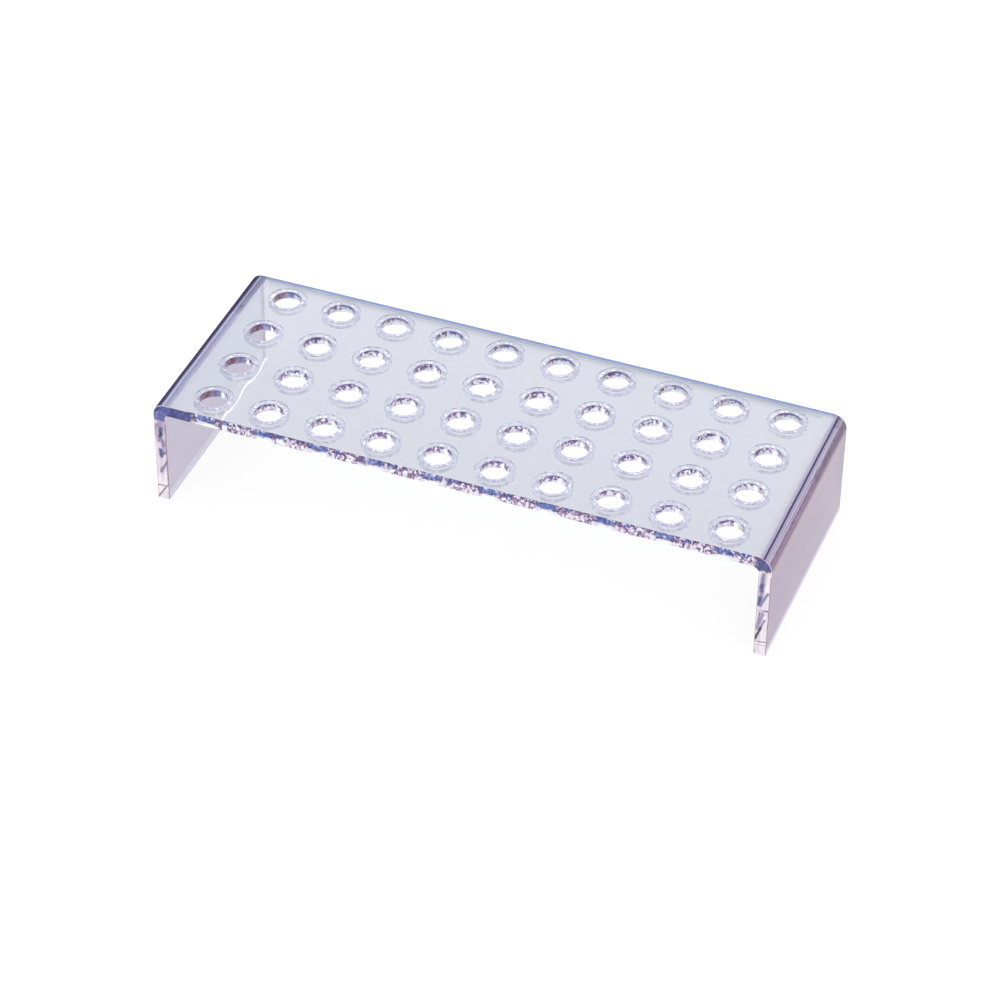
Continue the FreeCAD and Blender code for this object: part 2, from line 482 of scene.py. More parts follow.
def mixColour(tree, factor, a, b):
    node = tree.nodes.new("ShaderNodeMix")
    node.data_type = "RGBA"
    sockets = [socket for socket in node.inputs if socket.enabled]
    for socket, value in zip(sockets, (factor, a, b)):
        if isinstance(value, tuple):
            socket.default_value = (*value, 1)
        else:
            tree.links.new(value, socket)
    return node.outputs[2]


def colourRamp(tree, value, stops):
    node = tree.nodes.new("ShaderNodeValToRGB")
    points = node.color_ramp.elements
    while len(points) < len(stops):
        points.new(0.5)
    for point, (position, colour) in zip(points, stops):
        point.position = position
        point.color = (*colour, 1)
    tree.links.new(value, node.inputs[0])
    return node.outputs[0]


def vectorCalc(tree, operation, *values):
    node = tree.nodes.new("ShaderNodeVectorMath")
    node.operation = operation
    for socket, value in zip(node.inputs, values):
        if isinstance(value, Vector):
            socket.default_value = value
        else:
            tree.links.new(value, socket)
    return node.outputs["Value" if operation in ("DOT_PRODUCT", "DISTANCE") else "Vector"]


def axes(tree):
    place = tree.nodes.new("ShaderNodeTexCoord")
    split = tree.nodes.new("ShaderNodeSeparateXYZ")
    tree.links.new(place.outputs["Object"], split.inputs[0])
    return split.outputs["X"], split.outputs["Y"], split.outputs["Z"]


def counted(tree, place, sizes):
    # a vector that counts these sizes along X, Y and Z
    join = tree.nodes.new("ShaderNodeCombineXYZ")
    for socket, value, size in zip(join.inputs, place, sizes):
        tree.links.new(calc(tree, "DIVIDE", value, size), socket)
    return join.outputs[0]


def grain(tree, place, sizes, detail=1.5):
    # noise whose features are about this long along X, Y and Z
    texture = tree.nodes.new("ShaderNodeTexNoise")
    texture.inputs["Scale"].default_value = 1.0
    texture.inputs["Detail"].default_value = detail
    texture.inputs["Roughness"].default_value = 0.6
    tree.links.new(counted(tree, place, sizes), texture.inputs["Vector"])
    return texture.outputs["Fac"]


def cells(tree, place, sizes):
    # a random value in each small patch, about this long along X, Y and Z
    texture = tree.nodes.new("ShaderNodeTexVoronoi")
    texture.inputs["Scale"].default_value = 1.0
    tree.links.new(counted(tree, place, sizes), texture.inputs["Vector"])
    split = tree.nodes.new("ShaderNodeSeparateColor")
    tree.links.new(texture.outputs["Color"], split.inputs[0])
    return split.outputs[0]


def blob(tree, u, v, centre, radii, blur=0.25):
    # 1 inside an ellipse, fading to 0 just outside it
    squares = []
    for value, middle, radius in zip((u, v), centre, radii):
        part = calc(tree, "DIVIDE", minus(tree, value, middle), radius)
        squares.append(times(tree, part, part))
    return calc(tree, "DIVIDE", minus(tree, 1.0 + blur, plus(tree, *squares)), blur, clamp=True)


def stroke(tree, place, start, end, width, blur):
    # 1 along a straight line in the X-Z plane, fading out beside it, sizes in mm
    a, b = (Vector((x * mm, 0, z * mm)) for x, z in (start, end))
    run = b - a
    along = vectorCalc(tree, "DOT_PRODUCT", vectorCalc(tree, "SUBTRACT", place, a), run)
    along = calc(tree, "MULTIPLY", along, 1 / run.length_squared, clamp=True)
    nearest = vectorCalc(tree, "MULTIPLY_ADD", along, run, a)
    away = vectorCalc(tree, "DISTANCE", place, nearest)
    return calc(tree, "DIVIDE", minus(tree, (width + blur) * mm, away), blur * mm, clamp=True)


def fromHole(tree, value):
    # distance from the middle of the nearest hole, along one axis
    return calc(tree, "WRAP", plus(tree, value, pitch / 2), pitch / 2, -pitch / 2)


def toolMarksAndLightSpecks():
    # hard-edged specks, streaks along Z and soft patches, sizes in mm: the marks that saw and drill leave,
    # which also break up the painted light and shade
    given = [("Speck width", 0.75), ("Speck height", 0.8), ("Streak height", 2.4), ("Patch size", 3.0)]
    group, sizes, result = newGroup("toolMarksAndLightSpecks", given, ["Speck", "Streak", "Patch"])
    width, height, streak, patch = list(sizes)[:4]
    place = [calc(group, "DIVIDE", value, mm) for value in axes(group)]
    group.links.new(cells(group, place, (width, width, height)), result["Speck"])
    group.links.new(grain(group, place, (0.5, 0.5, streak)), result["Streak"])
    group.links.new(grain(group, place, (patch, patch, patch)), result["Patch"])
    return group


marks = toolMarksAndLightSpecks()


def useMarks(tree, sizes):
    node = tree.nodes.new("ShaderNodeGroup")
    node.node_tree = marks
    for socket, size in zip(node.inputs, sizes):
        socket.default_value = size
    return node.outputs


def newMaterial(name, clear, roughness):
    material = bpy.data.materials.new(name)
    material.use_nodes = True
    shader = material.node_tree.nodes["Principled BSDF"]
    shader.inputs["IOR"].default_value = acrylic["ior"]
    shader.inputs["Transmission Weight"].default_value = clear
    shader.inputs["Roughness"].default_value = roughness
    material.cycles.emission_sampling = "NONE"  # its faint glow isn't a lamp
    return material, material.node_tree, shader


def glowWith(tree, shader, colour):
    tree.links.new(colour, shader.inputs["Emission Color"])
    shader.inputs["Emission Strength"].default_value = 1.0


def lightPath(tree):
    return tree.nodes.new("ShaderNodeLightPath").outputs


navy, ink, plum = (0.10, 0.11, 0.29), (0.03, 0.03, 0.10), (0.30, 0.23, 0.42)
lilac, umber, peach = (0.55, 0.49, 0.70), (0.33, 0.19, 0.25), (0.95, 0.62, 0.50)
black = (0.0, 0.0, 0.0)

sawn = {
    "clear": 0.5,                          # how much light passes: the rest meets the saw's frosted skin
    "roughness": 0.14,
    "marks": (0.85, 1.10, 2.0, 2.6),
    "speck": 0.95,                         # how strongly each of the marks shows
    "streak": 0.9,
    "patch": 0.5,
    "fall": 0.46,                          # painted light: how much it pales from top to bottom, and where it is neither
    "fallFrom": 0.54,
    "shift": 1.85 * mm,                    # sideways, from a hole to where its painted image shows in the edge
    # the painted images of the holes: a blue spindle and spot, and a pale patch below them
    "spindle": ((0.2 * mm, 0.74), (4.4 * mm, 0.22)),
    "spot": ((8.3 * mm, 0.84), (1.6 * mm, 0.13)),
    "paleBelow": ((0.5 * mm, 0.10), (5.0 * mm, 0.30)),
    "paleBelowGain": 0.50,
    "ragged": 0.16,                        # how far specks break the outlines of spindles and spots
    # painted light gathered in the sheet, over the saw's specks: navy to white
    "speckle": [
        (0.00, (0.09, 0.08, 0.27)), (0.18, (0.22, 0.14, 0.31)), (0.34, (0.41, 0.25, 0.37)),
        (0.50, (0.62, 0.45, 0.54)), (0.60, (0.88, 0.75, 0.82)), (0.67, (1.0, 0.98, 1.0)),
    ],
    "blueFrom": 0.05,
    # the painted blue light in them
    "blue": [
        (0.00, (0.05, 0.08, 0.28)), (0.25, (0.09, 0.16, 0.48)), (0.60, (0.17, 0.28, 0.64)),
        (0.85, (0.34, 0.43, 0.76)), (0.98, (0.86, 0.86, 0.97)),
    ],
    "leg": [(0.3, (0.82, 0.68, 0.80)), (0.5, (0.96, 0.86, 0.92)), (0.65, (1.0, 0.97, 0.99))],
    "legStreakSize": (0.9 * mm, 5 * mm, 7 * mm),
    "legBlur": 0.2 * mm,                   # where the top passes into them
    "legDrift": 0.9 * mm,                  # how far the streaks in the legs wander
    "legLine": (0.45, 0.30, 0.36),         # the broken edge of the legs, below this height
    "legLineIn": 0.10 * mm,
    "legLineTop": 38.5 * mm,
    "bend": [
        (0.25, (0.05, 0.07, 0.28)), (0.45, (0.09, 0.12, 0.38)), (0.60, (0.15, 0.16, 0.44)),
        (0.78, (0.37, 0.32, 0.56)),
    ],
    "bendMix": (0.7, 0.3),                 # patches and specks in it
    "bendRight": (0.01, 0.01, 0.08),       # half of this is mixed into the right bend
    "bendEdge": (0.80, 0.66, 0.74),
    "bendEdgeIn": 0.16 * mm,
    "bendFrom": {-1: 110 * mm, 1: 120.0 * mm},
    "bendDown": {-1: 39.2 * mm, 1: 40.8 * mm},
    "bendBlur": (1.2 * mm, 0.4 * mm),
    "bendLoose": 2.5 * mm,                 # how far specks break the ends of the solid colour
    "behind": (0.70, 0.68, 0.78),          # painted shade seen from inside the sheet, between the bends and beyond them
    "behindEnd": (0.94, 0.93, 0.97),
    "endFrom": 108 * mm,
    "endBlur": 3 * mm,
}

# painted light and shade as streaks in the leg ends: start and end (X, Z), half width and blur in mm,
# colour
legMarks = {
    -1: [
        ((-123.4, 39.0), (-124.2, 30.0), 0.90, 2.20, (0.50, 0.40, 0.60)),
        ((-125.8, 36.5), (-126.4, 31.0), 0.30, 0.90, (0.52, 0.38, 0.52)),
        ((-124.2, 29.0), (-124.0, 14.0), 0.20, 2.20, (0.80, 0.68, 0.80)),
        ((-121.75, 37.6), (-121.75, 9.0), 0.10, 0.30, (0.56, 0.36, 0.38)),
        ((-123.6, 35.4), (-123.9, 33.8), 0.45, 0.80, navy),
        ((-123.6, 33.0), (-124.2, 30.8), 0.38, 0.70, ink),
        ((-124.4, 30.6), (-124.7, 28.8), 0.12, 0.50, umber),
        ((-124.6, 37.4), (-124.8, 36.4), 0.15, 0.60, plum),
        ((-125.5, 33.9), (-125.3, 32.9), 0.40, 0.70, lilac),
        ((-122.0, 25.6), (-124.0, 21.2), 0.22, 0.60, umber),
        ((-123.2, 29.6), (-122.2, 23.6), 0.50, 1.00, plum),
        ((-124.2, 24.6), (-124.0, 21.8), 0.42, 0.80, navy),
        ((-122.3, 26.2), (-122.4, 24.8), 0.30, 0.70, lilac),
        ((-121.8, 18.9), (-124.1, 14.2), 0.15, 0.70, plum),
        ((-124.0, 15.6), (-124.3, 13.6), 0.22, 0.70, plum),
        ((-121.2, 8.6), (-126.4, 0.6), 0.12, 0.30, umber),
        ((-123.0, 6.9), (-126.3, 6.7), 0.12, 0.25, navy),
        ((-121.2, 7.6), (-123.0, 6.9), 0.08, 0.25, lilac),
    ],
    1: [
        ((123.5, 39.6), (122.8, 25.0), 0.30, 1.30, (0.40, 0.32, 0.52)),
        ((123.3, 39.0), (122.9, 33.0), 0.12, 0.60, plum),
        ((121.4, 40.7), (126.4, 40.4), 0.10, 0.25, peach),
        ((123.2, 34.2), (123.2, 31.4), 0.35, 0.90, navy),
        ((122.8, 28.0), (122.6, 24.6), 0.40, 0.90, navy),
        ((125.6, 30.6), (123.0, 24.2), 0.15, 0.80, plum),
        ((126.3, 22.2), (124.4, 22.0), 0.12, 0.35, navy),
        ((124.2, 22.0), (121.5, 21.6), 0.08, 0.35, lilac),
        ((124.2, 20.6), (122.2, 12.6), 0.30, 0.90, (0.40, 0.32, 0.52)),
        ((122.9, 20.8), (122.5, 15.5), 0.10, 0.45, plum),
        ((125.0, 17.4), (123.2, 12.0), 0.14, 0.50, plum),
        ((123.7, 13.4), (121.9, 7.6), 0.28, 0.55, ink),
        ((126.4, 6.9), (121.3, 6.2), 0.10, 0.25, umber),
        ((126.0, 5.2), (121.4, 4.8), 0.05, 0.25, lilac),
    ],
}


def sawnTop(tree, x, y, z, mark):
    # along the top: saw specks under painted light, with painted blue spindles and spots between the holes,
    # where the holes show through
    share = calc(tree, "DIVIDE", minus(tree, z, underside), sheet["thickness"])
    shift = times(tree, calc(tree, "SIGN", y), sawn["shift"])
    across = fromHole(tree, plus(tree, x, shift))
    speck = times(tree, mark["Speck"], sawn["speck"])
    streak = bothWays(tree, mark["Streak"], sawn["streak"])
    value = plus(tree, speck, streak, bothWays(tree, mark["Patch"], sawn["patch"]))
    fall = times(tree, minus(tree, sawn["fallFrom"], share), sawn["fall"])
    paleBelow = times(tree, blob(tree, across, share, *sawn["paleBelow"]), sawn["paleBelowGain"])
    colour = colourRamp(tree, plus(tree, value, fall, paleBelow), asSeen(sawn["speckle"]))
    blue = colourRamp(tree, minus(tree, value, sawn["blueFrom"]), asSeen(sawn["blue"]))
    ragged = plus(tree, share, bothWays(tree, mark["Speck"], sawn["ragged"]))
    for shape in (sawn["spindle"], sawn["spot"]):
        colour = mixColour(tree, blob(tree, across, ragged, *shape), colour, blue)
    return colour


def sawnLegs(tree, x, y, z, mark, colour):
    # legs: painted light and shade, pale with dark streaks
    leg = colourRamp(tree, grain(tree, (x, y, z), sawn["legStreakSize"], 2.0), asSeen(sawn["leg"]))
    drift = bothWays(tree, mark["Patch"], sawn["legDrift"])
    join = tree.nodes.new("ShaderNodeCombineXYZ")
    tree.links.new(plus(tree, x, drift), join.inputs["X"])
    tree.links.new(plus(tree, z, drift), join.inputs["Z"])
    for sign in (-1, 1):
        part = leg
        for start, end, width, blur, tint in legMarks[sign]:
            line = stroke(tree, join.outputs[0], start, end, width, blur)
            part = mixColour(tree, line, part, asSeen(tint))
        onLeg = above(tree, times(tree, x, sign), innerX - sawn["legBlur"], sawn["legBlur"])
        colour = mixColour(tree, onLeg, colour, part)
    return colour


def sawnBends(tree, x, z, inside, mark, colour):
    # the bends' painted shade: solid colour over the top of the legs and the ends of the top, with a
    # painted pale edge
    patch, speck = sawn["bendMix"]
    tone = plus(tree, times(tree, mark["Patch"], patch), times(tree, mark["Speck"], speck))
    solid = colourRamp(tree, tone, asSeen(sawn["bend"]))
    solid = mixColour(tree, times(tree, moreThan(tree, x, 0.0), 0.5), solid, sawn["bendRight"])
    solid = mixColour(tree, moreThan(tree, inside, sawn["bendEdgeIn"]), solid, asSeen(sawn["bendEdge"]))
    loose = bothWays(tree, mark["Speck"], sawn["bendLoose"])
    height = plus(tree, z, times(tree, loose, 0.5))
    for sign in (-1, 1):
        reach = plus(tree, times(tree, x, sign), loose)
        inBend = times(
            tree,
            above(tree, reach, sawn["bendFrom"][sign], sawn["bendBlur"][0]),
            above(tree, height, sawn["bendDown"][sign], sawn["bendBlur"][1]),
        )
        colour = mixColour(tree, inBend, colour, solid)
    return colour


def makeSawn():
    # sawn faces at the front and the back: light that the sheet gathers comes out here, painted into their
    # colour
    material, tree, shader = newMaterial("sawnEdge", sawn["clear"], sawn["roughness"])
    x, y, z = axes(tree)
    mark = useMarks(tree, sawn["marks"])
    colour = sawnTop(tree, x, y, z, mark)
    colour = sawnLegs(tree, x, y, z, mark, colour)
    inside = minus(tree, high.y, calc(tree, "ABSOLUTE", y))
    line = times(tree, moreThan(tree, inside, sawn["legLineIn"]), lessThan(tree, z, sawn["legLineTop"]))
    colour = mixColour(tree, line, colour, asSeen(sawn["legLine"]))
    colour = sawnBends(tree, x, z, inside, mark, colour)
    atEnd = above(tree, calc(tree, "ABSOLUTE", x), sawn["endFrom"], sawn["endBlur"])
    behind = mixColour(tree, atEnd, sawn["behind"], sawn["behindEnd"])
    colour = mixColour(tree, lightPath(tree)["Is Camera Ray"], behind, colour)
    tree.links.new(colour, shader.inputs["Base Color"])
    return material


drilled = {
    "clear": 0.55,
    "roughness": 0.16,
    "marks": (0.85, 1.2, 2.4, 2.2),
    "speck": 0.95,                         # how strongly each of the marks shows
    "patch": 0.8,
    # painted light and shade over the drill's specks
    "wall": [
        (0.00, (0.14, 0.09, 0.26)), (0.18, (0.28, 0.16, 0.36)), (0.34, (0.46, 0.30, 0.47)),
        (0.48, (0.67, 0.54, 0.67)), (0.58, (0.93, 0.90, 0.95)), (0.66, (1.0, 1.0, 1.0)),
    ],
    "darkAbove": high.z - 1.9 * mm,        # painted light: the walls pale below this height
    "paling": 0.30 / mm,
    "rightFrom": 20 * mm,                  # and towards the right end and the back edge
    "rightBlur": 120 * mm,
    "rightPaler": 0.12,
    "rearPaler": 0.13,
    "gap": (1.2 * mm, 1.0 * mm),           # a painted highlight: sideways place and width of a bright gap in each wall
    "gapEnd": 1.3,                         # where it ends, in widths
    "gapGain": 0.5,
    "side": (0.38, 0.13, 0.26),            # painted reflections next to the left leg: its colour, then that of the bend
    "sideBlue": (0.27, 0.27, 0.62),
    "sideShare": 0.8,
    "sideEnd": (0.2 * mm, 0.7 * mm),
    "sideBlueFrom": (-3.4 * mm, 1.4 * mm),
    "back": (0.10, 0.18, 0.55),            # a painted blue reflection next to the back edge
    "backShare": 0.85,
    "backFrom": (-2.6 * mm, 1.0 * mm),
    "backDown": (high.z - 1.5 * mm, 0.4 * mm),
    "beads": [(0.30, (0.72, 0.71, 0.86)), (0.55, (0.92, 0.91, 0.95)), (0.75, (1.0, 1.0, 1.0))],
    "shine": [(0.15, (0.10, 0.08, 0.15)), (0.40, (0.20, 0.185, 0.25)), (0.75, (0.27, 0.26, 0.30))],
}


def drilledWall(tree, x, y, z, mark):
    # painted light and shade over the drill's chatter: darkest in its upper half
    across = fromHole(tree, x)
    rear = moreThan(tree, y, rowY[-1])
    speck = times(tree, mark["Speck"], drilled["speck"])
    value = plus(tree, speck, bothWays(tree, mark["Patch"], drilled["patch"]))
    lower = times(tree, minus(tree, drilled["darkAbove"], z), drilled["paling"])
    right = times(tree, above(tree, x, drilled["rightFrom"], drilled["rightBlur"]), drilled["rightPaler"])
    lower = plus(tree, lower, right, times(tree, rear, drilled["rearPaler"]))
    place, width = drilled["gap"]
    gap = calc(tree, "DIVIDE", calc(tree, "ABSOLUTE", minus(tree, across, place)), width)
    gap = times(tree, calc(tree, "SUBTRACT", drilled["gapEnd"], gap, clamp=True), drilled["gapGain"])
    colour = colourRamp(tree, plus(tree, value, lower, gap), asSeen(drilled["wall"]))
    # beside the left leg and the back edge the walls take up the dark colours next to them, as painted
    # reflections
    left = lessThan(tree, x, columnX[0] + pitch / 2)
    blue = above(tree, across, *drilled["sideBlueFrom"])
    side = mixColour(tree, blue, asSeen(drilled["side"]), asSeen(drilled["sideBlue"]))
    pastSide = above(tree, across, *drilled["sideEnd"])
    firm = times(tree, left, minus(tree, 1.0, pastSide), drilled["sideShare"])
    colour = mixColour(tree, firm, colour, side)
    back = times(tree, rear, above(tree, across, *drilled["backFrom"]))
    back = times(tree, back, above(tree, z, *drilled["backDown"]))
    return mixColour(tree, times(tree, back, drilled["backShare"]), colour, asSeen(drilled["back"]))


def makeDrilled():
    material, tree, shader = newMaterial("drilledBore", drilled["clear"], drilled["roughness"])
    mark = useMarks(tree, drilled["marks"])
    wall = drilledWall(tree, *axes(tree), mark)
    path = lightPath(tree)
    # painted light: pale beads for rays from inside the sheet
    beads = colourRamp(tree, mark["Speck"], drilled["beads"])
    tree.links.new(mixColour(tree, path["Is Camera Ray"], beads, wall), shader.inputs["Base Color"])
    # a painted glow: seen from inside the sheet, the near walls shine with the light that the sheet gathers
    once = within(tree, path["Transmission Depth"], 0.5, 1.5)
    once = times(tree, once, minus(tree, 1.0, path["Is Diffuse Ray"]))
    glowWith(tree, shader, mixColour(tree, once, black, colourRamp(tree, mark["Speck"], drilled["shine"])))
    return material


frosted = {
    "clear": 1.0,
    "roughness": 0.45,
    "marks": (1.2, 1.2, 2.4, 2.2),
    "tint": (0.95, 0.94, 0.96),
    # a painted glow seen directly, then painted shade seen through the sheet
    "glow": (0.12, 0.115, 0.125),
    "inside": [(0.30, (0.32, 0.32, 0.53)), (0.55, (0.43, 0.42, 0.57)), (0.80, (0.64, 0.63, 0.71))],
    "insideTop": (0.80, 0.80, 0.87),       # its inner half
    "topFrom": (0.6 * mm, 0.5 * mm),       # up from the underside
    "sideShine": (0.20, 0.20, 0.21),       # a painted glow left and right of the hole, also from inside
    "sideFrom": (4.0 * mm, 2.4 * mm),
}
facing = (0.36, -0.93)                     # the way that the rack usually faces, seen from its front right


def makeFrosted():
    # the countersinks, left as the tool leaves them, with painted shade that makes them duller when seen
    # through the sheet, and a painted glow
    material, tree, shader = newMaterial("frostedSink", frosted["clear"], frosted["roughness"])
    speck = useMarks(tree, frosted["marks"])["Speck"]
    direct = lightPath(tree)["Is Camera Ray"]
    x, y, z = axes(tree)
    height = minus(tree, z, underside)
    inside = colourRamp(tree, speck, frosted["inside"])
    inside = mixColour(tree, above(tree, height, *frosted["topFrom"]), inside, frosted["insideTop"])
    tree.links.new(mixColour(tree, direct, inside, frosted["tint"]), shader.inputs["Base Color"])
    across, along = fromHole(tree, x), fromHole(tree, y)
    aside = plus(tree, times(tree, across, -facing[1]), times(tree, along, facing[0]))
    aside = above(tree, calc(tree, "ABSOLUTE", aside), *frosted["sideFrom"])
    shine = mixColour(tree, aside, black, frosted["sideShine"])
    glowWith(tree, shader, mixColour(tree, direct, shine, frosted["glow"]))
    return material


# painted light and shade across the outside of each bend and down the leg: distance from the start in mm,
# colour
bandLook = {
    -1: [
        (0.0, acrylic["plateTint"]), (0.1, (0.86, 0.90, 0.88)), (0.35, (0.84, 0.88, 0.88)),
        (0.65, (0.60, 0.59, 0.67)), (1.0, (0.34, 0.33, 0.46)), (1.6, (0.37, 0.365, 0.57)),
        (2.2, (0.30, 0.33, 0.57)), (2.7, (0.23, 0.285, 0.51)), (3.0, (0.35, 0.40, 0.63)),
        (3.15, (0.54, 0.62, 0.84)), (3.75, (0.54, 0.62, 0.84)), (4.05, (0.26, 0.25, 0.41)),
        (4.6, (0.09, 0.07, 0.15)), (6.3, (0.04, 0.03, 0.08)), (11.2, (0.04, 0.035, 0.09)),
        (12.9, (0.20, 0.16, 0.28)), (14.0, acrylic["leftLegShadedTint"]),
    ],
    1: [
        (0.0, acrylic["plateTint"]), (0.4, (0.70, 0.69, 0.73)), (1.3, (0.62, 0.62, 0.80)),
        (2.2, (0.50, 0.47, 0.66)), (2.75, (0.42, 0.38, 0.60)), (2.95, (0.015, 0.010, 0.055)),
        (3.60, (0.015, 0.010, 0.055)), (3.85, (0.16, 0.11, 0.22)), (4.4, (0.22, 0.165, 0.28)),
        (5.1, (0.24, 0.20, 0.31)), (5.7, (0.56, 0.46, 0.60)), (6.3, (0.62, 0.51, 0.66)),
        (6.8, (0.25, 0.18, 0.26)), (7.3, (0.09, 0.04, 0.08)), (8.0, (0.055, 0.016, 0.054)),
        (9.3, (0.052, 0.019, 0.083)), (10.4, (0.075, 0.017, 0.076)), (11.6, (0.105, 0.020, 0.050)),
        (12.6, (0.20, 0.060, 0.098)), (13.6, (0.31, 0.158, 0.228)), (14.8, (0.31, 0.188, 0.28)),
        (18.0, (0.23, 0.125, 0.225)), (25.0, acrylic["rightLegShadedTint"]), (34.0, acrylic["rightLegShadedTint"]),
        (46.0, (0.32, 0.20, 0.34)),
    ],
}
bandStart = {-1: 72.0, 1: 73.5}            # in mm, distance from the middle less height
# how much of the dark coat of painted shade lies there, over the same distance
bandShadeCoat = {
    -1: [
        (0.3, 0.0), (1.2, 0.6), (2.2, 0.75), (3.0, 0.85), (3.15, 0.35), (3.75, 0.35), (4.2, 0.9),
        (5.0, 1.0), (12.0, 1.0), (13.0, 0.8), (14.0, 0.0),
    ],
    1: [(2.75, 0.0), (2.95, 1.0), (3.60, 1.0), (3.85, 0.0)],
}


def bandRamp(tree, bent, side, stops):
    length = stops[-1][0]
    share = calc(tree, "DIVIDE", minus(tree, bent, bandStart[side] * mm), length * mm)
    stops = [(place / length, tint if isinstance(tint, tuple) else (tint,) * 3) for place, tint in stops]
    return colourRamp(tree, share, stops)


# painted light and shade where the feet show through the legs
footLook = {
    "bandTop": 5.0 * mm,                      # up the inside of the left leg
    "bandTopWidth": 0.45 * mm,
    "bandTopTint": (0.36, 0.27, 0.37),
    "bandTint": (0.64, 0.59, 0.68),        # below the seam
    "line": 1.3 * mm,
    "lineTint": (0.10, 0.13, 0.36),
    "rightLine": 2.2 * mm,                 # up the outside of the right leg
    "rightTint": (0.18, 0.20, 0.48),
    "rightGlow": (0.45, 0.28, 0.42),
    "rightGlowTop": 3.8 * mm,
    "backLine": 1.7 * mm,                  # painted shade along its back edge
    "backTint": (0.07, 0.07, 0.26),
    "backTop": high.z - 6 * mm,
}


def leftFoot(tree, z, face):
    # the cut foot, seen through the leg, is painted as light and shade in the lowest part of the left leg
    face = mixColour(tree, lessThan(tree, z, footLook["bandTop"]), face, footLook["bandTint"])
    face = mixColour(tree, lessThan(tree, z, footLook["line"]), face, footLook["lineTint"])
    bandTop = within(tree, z, footLook["bandTop"], footLook["bandTop"] + footLook["bandTopWidth"])
    return mixColour(tree, bandTop, face, footLook["bandTopTint"])


def rightFoot(tree, y, z, face):
    # painted light and shade at the foot and the back edge of the right leg
    face = mixColour(tree, lessThan(tree, z, footLook["rightGlowTop"]), face, footLook["rightGlow"])
    face = mixColour(tree, lessThan(tree, z, footLook["rightLine"]), face, footLook["rightTint"])
    atBack = moreThan(tree, y, high.y - footLook["backLine"])
    atBack = times(tree, atBack, lessThan(tree, z, footLook["backTop"]))
    return mixColour(tree, atBack, face, footLook["backTint"])


bendLook = {
    "wander": 0.5 * mm,                    # how far the stripes stray from straight lines
    "wanderSize": (9 * mm, 14 * mm, 9 * mm),
    "gatherFrom": high.z - 6.5 * mm,       # down to here the bends show gathered light
}


def bendTone(tree, x, y, z):
    # painted light and shade: stripes along the outside of the bends, where the curve gathers the light
    along = calc(tree, "ABSOLUTE", x)
    wander = bothWays(tree, grain(tree, (x, y, z), bendLook["wanderSize"]), bendLook["wander"])
    bent = plus(tree, minus(tree, along, z), wander)
    half = sheet["thickness"] / 2
    outer = calc(tree, "MAXIMUM", minus(tree, along, high.x - half), minus(tree, z, high.z - half))
    outer = moreThan(tree, outer, 0.0)
    onLeg = above(tree, along, acrylic["legTintFrom"], acrylic["legTintBlur"])
    leftIn = leftFoot(tree, z, mixColour(tree, onLeg, acrylic["plateTint"], acrylic["leftLegShadedTint"]))
    rightIn = mixColour(tree, onLeg, acrylic["plateTint"], acrylic["rightLegShadedTint"])
    leftOut = bandRamp(tree, bent, -1, bandLook[-1])
    rightOut = rightFoot(tree, y, z, bandRamp(tree, bent, 1, bandLook[1]))
    sides = mixColour(tree, outer, leftIn, leftOut), mixColour(tree, outer, rightIn, rightOut)
    onRight = moreThan(tree, x, 0.0)
    shadeCoat = mixColour(tree, onRight, *(bandRamp(tree, bent, side, bandShadeCoat[side]) for side in (-1, 1)))
    skin = times(tree, outer, moreThan(tree, along, bandStart[-1] * mm + high.z))
    skin = times(tree, skin, moreThan(tree, z, bendLook["gatherFrom"]))
    return mixColour(tree, onRight, *sides), times(tree, shadeCoat, outer), skin


ringLook = {
    "marks": (0.95, 0.95, 2.4, 1.6),
    "mix": (0.6, 0.35),                    # patches and specks in them
    "tones": [                             # painted light and shade on the spot-faced rings round the holes
        (0.15, (0.36, 0.345, 0.52)), (0.45, (0.50, 0.485, 0.61)), (0.70, (0.70, 0.69, 0.76)),
    ],
    "line": (0.20, 0.165, 0.29),           # of their painted dark outlines, and where these break up
    "faint": (0.55, 0.53, 0.63),
    "outlineBreakFrom": (0.38, 0.2),
    "upperLine": (-0.20 * mm, 0.14 * mm),  # the outlines begin and end here: from the seat's edge
    "lowerLine": (-0.05 * mm, 0.42 * mm),  # and, on the underside, from the countersink's
    "lineFade": (0.0 * mm, 3.5 * mm),      # towards the front the seat's outline fades
    "lineFaded": 0.75,
    "shade": (0.29, 0.275, 0.39),          # the front of each ring, where its step turns away
    "shadeWidth": 0.95 * mm,
    "shadeFrom": (2.0 * mm, 3.0 * mm),
    "shadeShare": 0.45,
    "rim": (0.35 * mm, 1.35 * mm),         # bright specks lie between these distances from the bore
    "glint": (0.24, 0.24, 0.25),
    "dull": 0.78,                          # the share of the specks there that stay dull
    "topSkin": 0.32 * mm,                  # only this near the top or the underside
    "underSkin": 0.1 * mm,
}


